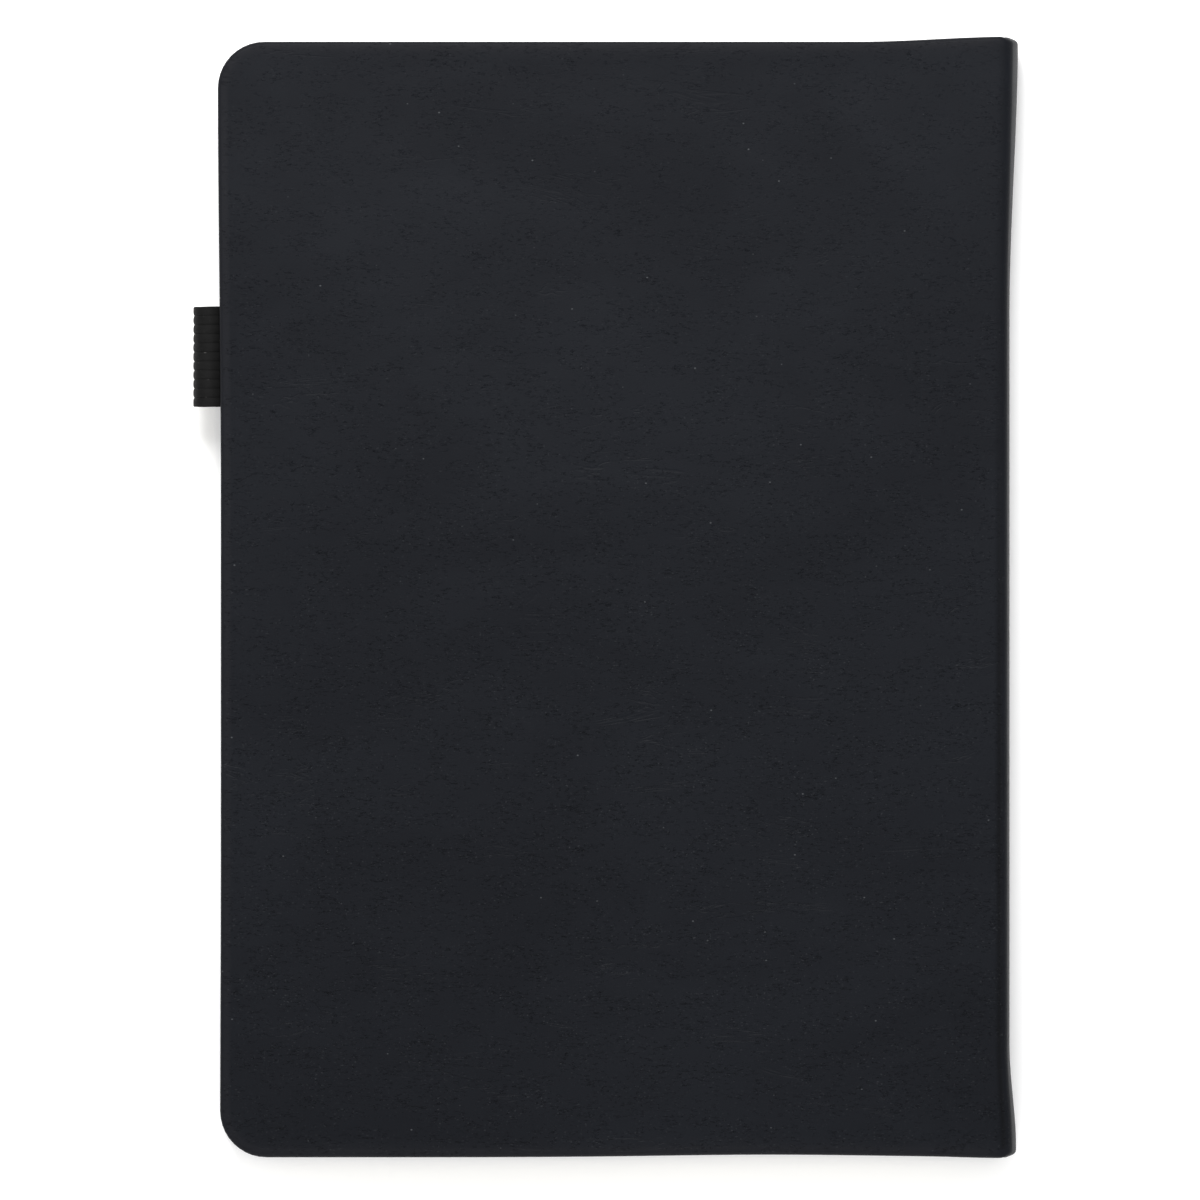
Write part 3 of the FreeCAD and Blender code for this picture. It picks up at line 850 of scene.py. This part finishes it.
    def rings(self, line: Outline, rim_s: Array, rim_y: Array) -> Array:
        """Carry the edge's profile round the rim of the face.

        Args:
            line: The face's outline.
            rim_s: The rim's places along s.
            rim_y: Its places up.

        Returns:
            Lines x rim points x 3.
        """
        away = np.clip((self.fore + self.corner - rim_s) / line.corner, 0, 1)
        out_s, out_y = -away, np.sign(rim_y) * np.sqrt(1 - away**2)
        edge_s, edge_y = rim_s + self.border * out_s, rim_y + self.border * out_y
        full = self.depth(rim_s)
        rings = []
        for inset, depth, share in self.profile():
            d = depth + share * full
            ring_s, ring_y = edge_s - inset * out_s, edge_y - inset * out_y
            if share == 0.0 and depth < self.leather:
                d = d + self.face_depth(ring_s, ring_y) * (1 - depth / self.leather)
            rings.append(self.bend(ring_s, ring_y, d))
        return np.stack(rings)

    def points(self) -> tuple[Array, Array, list[list[int]], dict[str, Array]]:
        """Work out the closed skin.

        The outer face is a grid drawn in by a border. Rings run from its open rim round the
        wrapped edge and back under the face, where an inner grid closes them. A strip and
        two caps close the cut at mid spine.

        Returns:
            Points, quads, the two caps, and each point's share of the fold and of the rim's painted
            highlight.
        """
        line = Outline(self.fore, self.back, self.form.half, self.corner).inset(self.border)
        across = self.columns(line)
        rows, columns = self.rows, len(across)
        s, y = line.grid(across, rows)
        face = self.bend(s, y, self.face_depth(s, y))
        inner = self.bend(s, y, np.full_like(y, self.leather))
        index = np.arange(rows * columns).reshape(rows, columns)
        rim = np.concatenate([index[0, ::-1], index[1:-1, 0], index[-1, :]])
        ring = self.rings(line, s.ravel()[rim], y.ravel()[rim])

        count, length = ring.shape[:2]
        start = rows * columns
        under = start + count * length
        ring_index = start + np.arange(count * length).reshape(count, length)
        chain = np.concatenate([rim[None], ring_index, (under + rim)[None]])
        wall = np.stack([chain[:-1, :-1], chain[:-1, 1:], chain[1:, 1:], chain[1:, :-1]], -1)
        low, high = index[:-1, -1], index[1:, -1]
        end = np.stack([under + low, under + high, high, low], -1)
        below = grid_quads(rows, columns, under)[:, ::-1]
        quads = np.concatenate([grid_quads(rows, columns), below, wall.reshape(-1, 4), end])
        caps = [chain[:, 0].tolist(), chain[::-1, -1].tolist()]
        points = np.concatenate([face.reshape(-1, 3), ring.reshape(-1, 3), inner.reshape(-1, 3)])
        marks = {"fold": np.zeros(len(points)), "rim": np.zeros(len(points))}
        # The fold share places the groove and the painted shade in it.
        marks["fold"][:start] = self.fold(s, y).ravel()
        # The rim share places the painted highlight on the rolled edge, fading towards the spine.
        marks["rim"][rim] = self.rim_edge
        marks["rim"][start : start + self.rim_rings * length] = 1.0
        marks["rim"] *= smooth((75.5 * MM - points[:, 0]) / (3 * MM)) * 0.75 + 0.25
        return points, quads, caps, marks

    def build(self, wardrobe: Wardrobe) -> None:
        """Make the half and dress it in place of its CAD nodes."""
        name = self.side.value
        points, quads, caps, marks = self.points()
        piece = make_mesh(f"{name}_case_leather", points, quads, caps)
        for mark, share in marks.items():
            layer = piece.data.attributes.new(mark, "FLOAT", "POINT")
            layer.data.foreach_set("value", share.astype(np.float32))
        wardrobe.dress(piece, "cover_leather")
        nodes = [f"{name}_cover_leather", f"{name}_joint_leather"]
        if self.side is Side.BACK:
            nodes.append("spine_leather")
        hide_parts(*nodes)
        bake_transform(piece)
        log.info("%s half of the case: %d points", name, len(points))


@dataclass
class Boards:
    """The two cover boards, the spine's card and the pastedowns, in the case's form."""

    form: CaseForm
    corner: float = 8.3 * MM
    sheet: float = 0.15 * MM
    sheet_corner: float = 6.0 * MM
    step: float = 0.33 * MM
    step_slope: float = 1.6 * MM
    hinge: float = 75.0 * MM
    window_fore: float = -61.9 * MM
    window_back: float = 47.9 * MM
    window_half: float = 93.3 * MM
    wrinkle: float = 0.02 * MM
    kept_rise: float = 0.9

    def warp(self, x: Array, y: Array, z: Array, to_hinge: bool = False) -> Array:
        """Carry ideal places into the case's uneven form, or leave those at the hinge."""
        across, up = self.form.shift(x, y, np.zeros_like(x))
        if to_hinge:
            across = across * smooth((self.hinge - x) / (9 * MM))
        return np.stack([x + across, y + up * self.kept_rise, z], -1)

    def board(self, side: Side, wardrobe: Wardrobe) -> None:
        """A board: its outline filled with a grid, both faces a little uneven."""
        node = f"{side.value}_board"
        low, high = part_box(node)
        line = Outline.of(node, self.corner)
        x, y = line.grid(line.columns(8, 12), 16)
        top, bottom = (self.warp(x, y, np.full_like(y, level)) for level in (high.z, low.z))
        piece = make_mesh(f"{side.value}_cover_board", *shell(top, bottom))
        wardrobe.fit(piece, "grey_board", node, f"{side.value}_cover")

    def pastedown(self, side: Side, wardrobe: Wardrobe) -> None:
        """The endpaper glued to a board: it sinks where the leather's turn-ins end."""
        node = f"{side.value}_pastedown"
        low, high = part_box(node)
        line = Outline(low.x, self.hinge, high.y, self.sheet_corner)
        x, y = line.grid(line.columns(8, 60), 70)
        slope = self.step_slope
        sunk = ramp(x, self.window_fore, slope) * smooth((self.window_half - np.abs(y)) / slope)
        sunk = sunk * smooth((self.window_back - x) / slope)
        seed = 21 if side is Side.BACK else 22
        wrinkle = self.wrinkle * (ripple(x, y, seed, 22 * MM) + 1)
        rise = self.step * sunk - wrinkle * sunk
        inward, away = (low.z, 1) if side is Side.BACK else (high.z, -1)
        near = self.warp(x, y, inward + away * rise, True)
        far = self.warp(x, y, inward + away * (rise + self.sheet), True)
        piece = make_mesh(f"{side.value}_pasted_endpaper", *shell(far, near))
        wardrobe.fit(piece, "endpaper", node, f"{side.value}_cover")

    def card(self, wardrobe: Wardrobe) -> None:
        """The card strip that keeps the spine stiff, bowed with the spine's face."""
        low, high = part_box("spine_stiffener")
        z, y = np.meshgrid(np.linspace(low.z, high.z, 9), np.linspace(low.y, high.y, 60))
        faces = []
        for face_x in (high.x, low.x):
            share = self.form.bulge(z)
            across, _ = self.form.shift(np.full_like(y, face_x), y, share)
            faces.append(np.stack([face_x + across, y, z], -1))
        piece = make_mesh("spine_card", *shell(faces[0], faces[1]))
        wardrobe.fit(piece, "grey_board", "spine_stiffener", ROOT)

    def build(self, wardrobe: Wardrobe) -> None:
        """Make both boards, both pastedowns and the card."""
        for side in Side:
            self.board(side, wardrobe)
            self.pastedown(side, wardrobe)
        self.card(wardrobe)


# ---- the block


@dataclass
class Block:
    """The leaves: loose ones, and sewn sections of stacked sheets."""

    corner: float = 6.0 * MM
    sheet: float = 0.15 * MM
    spread: float = 0.06 * MM
    rows: int = 12
    turn: int = 7
    run: int = 10
    bend_length: float = 38.0 * MM
    bend_columns: int = 48
    fold_depth: float = 0.8 * MM
    fold_round: float = 0.75
    fold_fill: float = 0.985
    leaves: int = 10
    sections: int = 8
    hinge: float = 75.0 * MM
    leaf_back: float = 73.25 * MM
    fly_gap: float = 0.04 * MM
    gap: float = 0.005 * MM
    waviness: float = 0.004 * MM

    def sheet_points(
        self, line: Outline, low: float, chance: np.random.Generator, seed: int, bent: bool = False
    ) -> Surface:
        """One closed sheet that lies a hair off true, with close columns near its back edge.

        Args:
            line: Its outline.
            low: Height of what it lies on.
            chance: Draws how far it lies off true, across and up.
            seed: Which unevenness.
            bent: Whether it gets many close columns near its back edge.

        Returns:
            Points and quads.
        """
        shift = chance.uniform(-self.spread, self.spread, 2)
        flat = line.columns(self.turn, self.run)
        bend_start = line.back - self.bend_length - 4 * MM
        near = np.linspace(bend_start, line.back, self.bend_columns if bent else 4)
        x, y = line.grid(np.concatenate([flat[flat < bend_start - 1 * MM], near]), self.rows)
        x = x + shift[0] * smooth((line.back - x) / (10 * MM))
        y = y + shift[1]
        z = low + self.gap + self.waviness * ripple(x, y, seed, 50 * MM)
        return shell(np.stack([x, y, z + self.sheet], -1), np.stack([x, y, z], -1))

    def free_leaf(self, node: str, order: int, wardrobe: Wardrobe) -> None:
        """A loose leaf: a flat sheet with close columns near its back edge."""
        low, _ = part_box(node)
        flyleaf = node.endswith("flyleaf")
        back = self.hinge - self.fly_gap if flyleaf else self.leaf_back
        chance = np.random.default_rng(100 + order)
        line = Outline.of(node, self.corner, back)
        piece = make_mesh(
            f"{node}_sheet", *self.sheet_points(line, low.z, chance, 200 + order, True)
        )
        wardrobe.dress(piece, "endpaper" if flyleaf else "page_paper")
        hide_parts(node)
        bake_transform(piece)

    def fold_cap(self, low: float, high: float, half: float, back: float) -> Surface:
        """The folded backs of a section: a half round along the spine.

        Its outline is x = back - depth(1 - sqrt(1 - t^2)), where t is the share of half the
        section's thickness from its middle.
        """
        t = np.linspace(-1, 1, 9)
        z = (low + high) / 2 + t * (high - low) / 2 * self.fold_fill
        x = back - self.fold_depth * self.fold_round * (1 - np.sqrt(np.maximum(1 - t * t, 0)))
        y = np.linspace(-half, half, self.rows)[:, None]
        outer = np.stack(np.broadcast_arrays(x, y, z), -1)
        flat = np.stack(np.broadcast_arrays(back - self.fold_depth, y, z), -1)
        return shell(outer, flat)

    def section(self, node: str, order: int, wardrobe: Wardrobe) -> None:
        """A sewn section: ten sheets that lie a hair off true, and their folds."""
        low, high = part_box(node)
        solids = [self.fold_cap(low.z, high.z, high.y, high.x)]
        if "fold" not in node:
            line = Outline(low.x, high.x - self.fold_depth * 0.6, high.y, self.corner)
            chance = np.random.default_rng(300 + order)
            levels = np.linspace(low.z, high.z, self.leaves + 1)[:-1]
            for seed, level in enumerate(levels, 400 + 20 * order):
                solids.append(self.sheet_points(line, level, chance, seed))
        piece = make_mesh(f"{node}_sheets", *stack(*solids))
        wardrobe.fit(piece, "page_paper", node, ROOT)

    def build(self, wardrobe: Wardrobe) -> None:
        """Make every leaf and section."""
        order = 0
        for side in Side:
            names = [f"{side.value}_flyleaf"]
            names += [f"{side.value}_leaf_{k}" for k in range(1, self.leaves + 1)]
            for node in names:
                self.free_leaf(node, order, wardrobe)
                order += 1
        whole = [f"section_{k}" for k in range(2, self.sections)]
        sections = ["section_1_fold", *whole, f"section_{self.sections}_fold"]
        for number, node in enumerate(sections):
            self.section(node, number, wardrobe)
        log.info("%d free leaves and %d sections", order, len(sections))


@dataclass
class SpineLining:
    """What holds the block's back: cloth, thread, kraft paper and the two bands."""

    bead_radius: float = 0.72 * MM
    thread_pitch: float = 0.8 * MM
    thread_rise: float = 0.07 * MM
    tape: Pair = (73.71 * MM, 73.93 * MM)
    tape_inset: float = 0.1 * MM

    def bead(self, centre: Pair, low: float, high: float) -> tuple[Array, Array, list[list[int]]]:
        """A tube of wound thread: its radius swells and narrows with each thread.

        Args:
            centre: Its place across and up.
            low: Height of its lower end.
            high: Height of its upper end.

        Returns:
            Points, quads and the two end caps.
        """
        z = np.linspace(low, high, 110)[:, None]
        turn = np.linspace(0, 2 * math.pi, 17)[:-1]
        swell = np.abs(np.sin(math.pi * z / self.thread_pitch)) ** 0.6
        radius = self.bead_radius - self.thread_rise * (1 - swell)
        x, y = centre[0] + radius * np.cos(turn), centre[1] + radius * np.sin(turn)
        tube = np.stack(np.broadcast_arrays(x, y, z), -1)
        index = np.arange(tube[..., 0].size).reshape(tube.shape[:2])
        after = np.roll(index, -1, axis=1)
        quads = np.stack([index[:-1], after[:-1], after[1:], index[1:]], -1).reshape(-1, 4)
        return tube.reshape(-1, 3), quads, [index[0, ::-1].tolist(), index[-1].tolist()]

    def band(self, end: str, wardrobe: Wardrobe) -> None:
        """A headband: a bead of wound thread with its tape behind it."""
        node = f"{end}_band"
        low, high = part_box(node)
        radius = (high.x - low.x) / 2
        tip, inner = (high.y - radius, low.y) if end == "head" else (low.y + radius, high.y)
        centre = ((low.x + high.x) / 2, tip)
        bead = make_mesh(f"{end}_band_bead", *self.bead(centre, low.z, high.z))
        y, z = np.meshgrid(
            np.linspace(inner, tip, 10),
            np.linspace(low.z + self.tape_inset, high.z - self.tape_inset, 8),
        )
        near, far = (np.stack([np.full_like(y, x), y, z], -1) for x in self.tape)
        tape = make_mesh(f"{end}_band_tape", *shell(far, near))
        wardrobe.fit(bead, "band_cloth", node, ROOT)
        wardrobe.dress(tape, "band_cloth")
        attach(tape, ROOT)

    def build(self, wardrobe: Wardrobe) -> None:
        """Make the bands and dress the linings that keep their own shape."""
        for end in ("head", "tail"):
            self.band(end, wardrobe)
        for node in ("spine_mull", "front_mull_flange", "back_mull_flange"):
            wardrobe.dress_node(node, "spine_cloth")
        wardrobe.dress_node("spine_liner", "kraft_liner")
        wardrobe.dress_node("sewing_thread", "thread")


@dataclass
class PenLoop:
    """A band of ribbed elastic: a tab under the back board's endpaper and a round loop."""

    webbing: float = 0.8 * MM
    rib_height: float = 0.24 * MM
    rib_pitch: float = 1.764 * MM
    ribs: int = 11
    points_per_rib: int = 10
    wrap: float = math.radians(338)
    edge_round: float = 0.28 * MM
    edge_loss: float = 0.2 * MM
    lift: float = 0.25 * MM
    dip: float = 0.42 * MM
    dip_from: float = math.radians(270)
    dip_turn: float = math.radians(66)
    tab_loss: float = 0.45
    tab_from: float = -75.2 * MM
    tab_length: float = 30 * MM
    inner_relief: float = 0.6

    def rib(self, v: Array) -> Array:
        """Loss of thickness across the band: none on a rib, most between two.

        The ribs are the upper arcs of a sine: 1 - |sin(pi v / pitch)|^0.45.
        """
        return self.rib_height * (1 - np.abs(np.sin(math.pi * v / self.rib_pitch)) ** 0.45)

    def path(self, low: Vector, high: Vector) -> tuple[Array, Array, Array]:
        """The band's middle line: along the tab to the fore-edge, then round the loop.

        Args:
            low: Lowest corner of the loop's box.
            high: Highest corner.

        Returns:
            Places, directions pointing out of the band's outer face, and distances along.
        """
        outer = (high.z - low.z) / 2
        radius = outer - self.webbing / 2
        centre_x, centre_z = low.x + outer, low.z + outer
        tab_x = np.linspace(high.x, centre_x, 24)
        tab = np.stack([tab_x, np.full_like(tab_x, centre_z + radius)], -1)
        turn = np.linspace(0, self.wrap, 84)[1:]
        out_tab = np.broadcast_to([0.0, 1.0], tab.shape)
        out_arc = np.stack([-np.sin(turn), np.cos(turn)], -1)
        reach = radius - self.dip * ramp(turn, self.dip_from, self.dip_turn)
        line = np.concatenate([tab, [centre_x, centre_z] + reach[:, None] * out_arc])
        along = np.concatenate([[0], np.cumsum(np.linalg.norm(np.diff(line, axis=0), axis=1))])
        return line, np.concatenate([out_tab, out_arc]), along

    def build(self, wardrobe: Wardrobe) -> None:
        """Carry the ribbed profile along the path and close it into a band."""
        low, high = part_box("pen_loop")
        line, out, along = self.path(low, high)
        v = np.linspace(0, self.ribs * self.rib_pitch, self.ribs * self.points_per_rib + 1)
        width = high.y - low.y
        y = low.y + self.lift + v / v[-1] * width
        from_edge = np.minimum(v, v[-1] - v)
        edge = np.clip(1 - from_edge / self.edge_round, 0, 1)
        loss = self.rib(v) * smooth(from_edge / (0.5 * self.rib_pitch)) + self.edge_loss * edge**2
        on_tab = ramp(line[:, 0], self.tab_from, 3 * MM) * (along < self.tab_length)
        thin = (1 - self.tab_loss * on_tab)[:, None]
        wobble = 0.05 * MM * ripple(along[:, None], y[None, :], 31, 5 * MM)
        faces = []
        for sign, relief in ((1, 1.0), (-1, self.inner_relief)):
            height = sign * (self.webbing / 2 - loss * relief) * thin
            x = line[:, None, 0] + out[:, None, 0] * height
            z = line[:, None, 1] + out[:, None, 1] * height
            faces.append(np.stack([x, y + wobble, z], -1))
        points, quads = shell(faces[0], faces[1])
        uv = np.stack(np.broadcast_arrays(along[:, None], y[None, :]), -1).reshape(-1, 2)
        piece = make_mesh("pen_loop_band", points, quads, uv=np.concatenate([uv, uv]))
        wardrobe.fit(piece, "elastic_webbing", "pen_loop", "back_cover")


# ---- the studio


@dataclass(frozen=True)
class Lamp:
    """A square soft lamp that faces the book."""

    name: str
    place: Triple
    size: float
    watts: float

    def build(self) -> None:
        """Put the lamp in the scene."""
        data = bpy.data.lights.new(self.name, "AREA")
        data.shape = "SQUARE"
        data.size = self.size
        data.energy = self.watts
        lamp = bpy.data.objects.new(self.name, data)
        bpy.context.scene.collection.objects.link(lamp)
        lamp.location = self.place
        lamp.rotation_euler = (-Vector(self.place)).to_track_quat("-Z", "Y").to_euler()


@dataclass(frozen=True)
class Studio:
    """A near-white floor, soft even light and a camera that looks straight down."""

    floor_size: float = 14.0
    floor_drop: float = 0.05 * MM
    floor_white: float = 0.97
    floor_glow: float = 0.10
    sky: float = 0.98
    lamps: tuple[Lamp, ...] = (
        Lamp("head_lamp", (-0.05, 0.36, 0.55), 0.25, 4.8),
        Lamp("tail_lamp", (0.0, -0.9, 0.35), 0.6, 3.5),
    )
    centre: Pair = (-2.96 * MM, -0.1 * MM)
    view_width: float = 232.3 * MM
    distance: float = 5.0
    sensor: float = 36.0

    def floor(self) -> None:
        """A pale matte floor under the book, with a faint glow that softens its shadow."""
        mesh = bpy.data.meshes.new("floor")
        edge = self.floor_size / 2
        corners = [(-edge, -edge, 0), (edge, -edge, 0), (edge, edge, 0), (-edge, edge, 0)]
        mesh.from_pydata(corners, [], [(0, 1, 2, 3)])
        floor = bpy.data.objects.new("floor", mesh)
        bpy.context.scene.collection.objects.link(floor)
        floor.location.z = -self.floor_drop
        g = Graph("floor_white")
        g.surface.inputs["Base Color"].default_value = (*[self.floor_white] * 3, 1)
        g.surface.inputs["Roughness"].default_value = 1.0
        g.surface.inputs["Specular IOR Level"].default_value = 0.0
        g.surface.inputs["Emission Color"].default_value = (1, 1, 1, 1)
        g.surface.inputs["Emission Strength"].default_value = self.floor_glow
        mesh.materials.append(g.material)

    def world(self) -> None:
        """Even white light from everywhere."""
        world = bpy.data.worlds.new("studio_white")
        world.use_nodes = True
        background = world.node_tree.nodes["Background"]
        background.inputs["Color"].default_value = (1.0, 1.0, 1.0, 1)
        background.inputs["Strength"].default_value = self.sky
        bpy.context.scene.world = world

    def camera(self) -> None:
        """The camera, far off, so that the book's edges show nearly square on."""
        data = bpy.data.cameras.new("camera")
        data.sensor_width = self.sensor
        data.lens = self.sensor * self.distance / self.view_width
        data.clip_start, data.clip_end = 0.1, 100.0
        camera = bpy.data.objects.new("camera", data)
        bpy.context.scene.collection.objects.link(camera)
        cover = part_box("back_cover_leather")[1].z
        camera.location = (*self.centre, cover + self.distance)
        bpy.context.scene.camera = camera

    def build(self) -> None:
        """Set up the studio."""
        self.floor()
        self.world()
        for lamp in self.lamps:
            lamp.build()
        self.camera()
        view = bpy.context.scene.view_settings
        view.view_transform, view.look = "Standard", "None"
        log.info("studio")


def main() -> None:
    """Build the book from its case to its leaves, then the studio round it."""
    logging.basicConfig(level=logging.INFO, format="%(name)s: %(message)s")
    wardrobe = Wardrobe()
    low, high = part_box("back_cover_leather")
    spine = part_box("back_joint_leather")[1].x
    form = CaseForm(half=high.y, thickness=high.z)
    for side in Side:
        HalfCase(side, form, low.x, spine, high.x).build(wardrobe)
    Boards(form).build(wardrobe)
    Block().build(wardrobe)
    SpineLining().build(wardrobe)
    PenLoop().build(wardrobe)
    Studio().build()


if __name__ == "__main__":
    main()
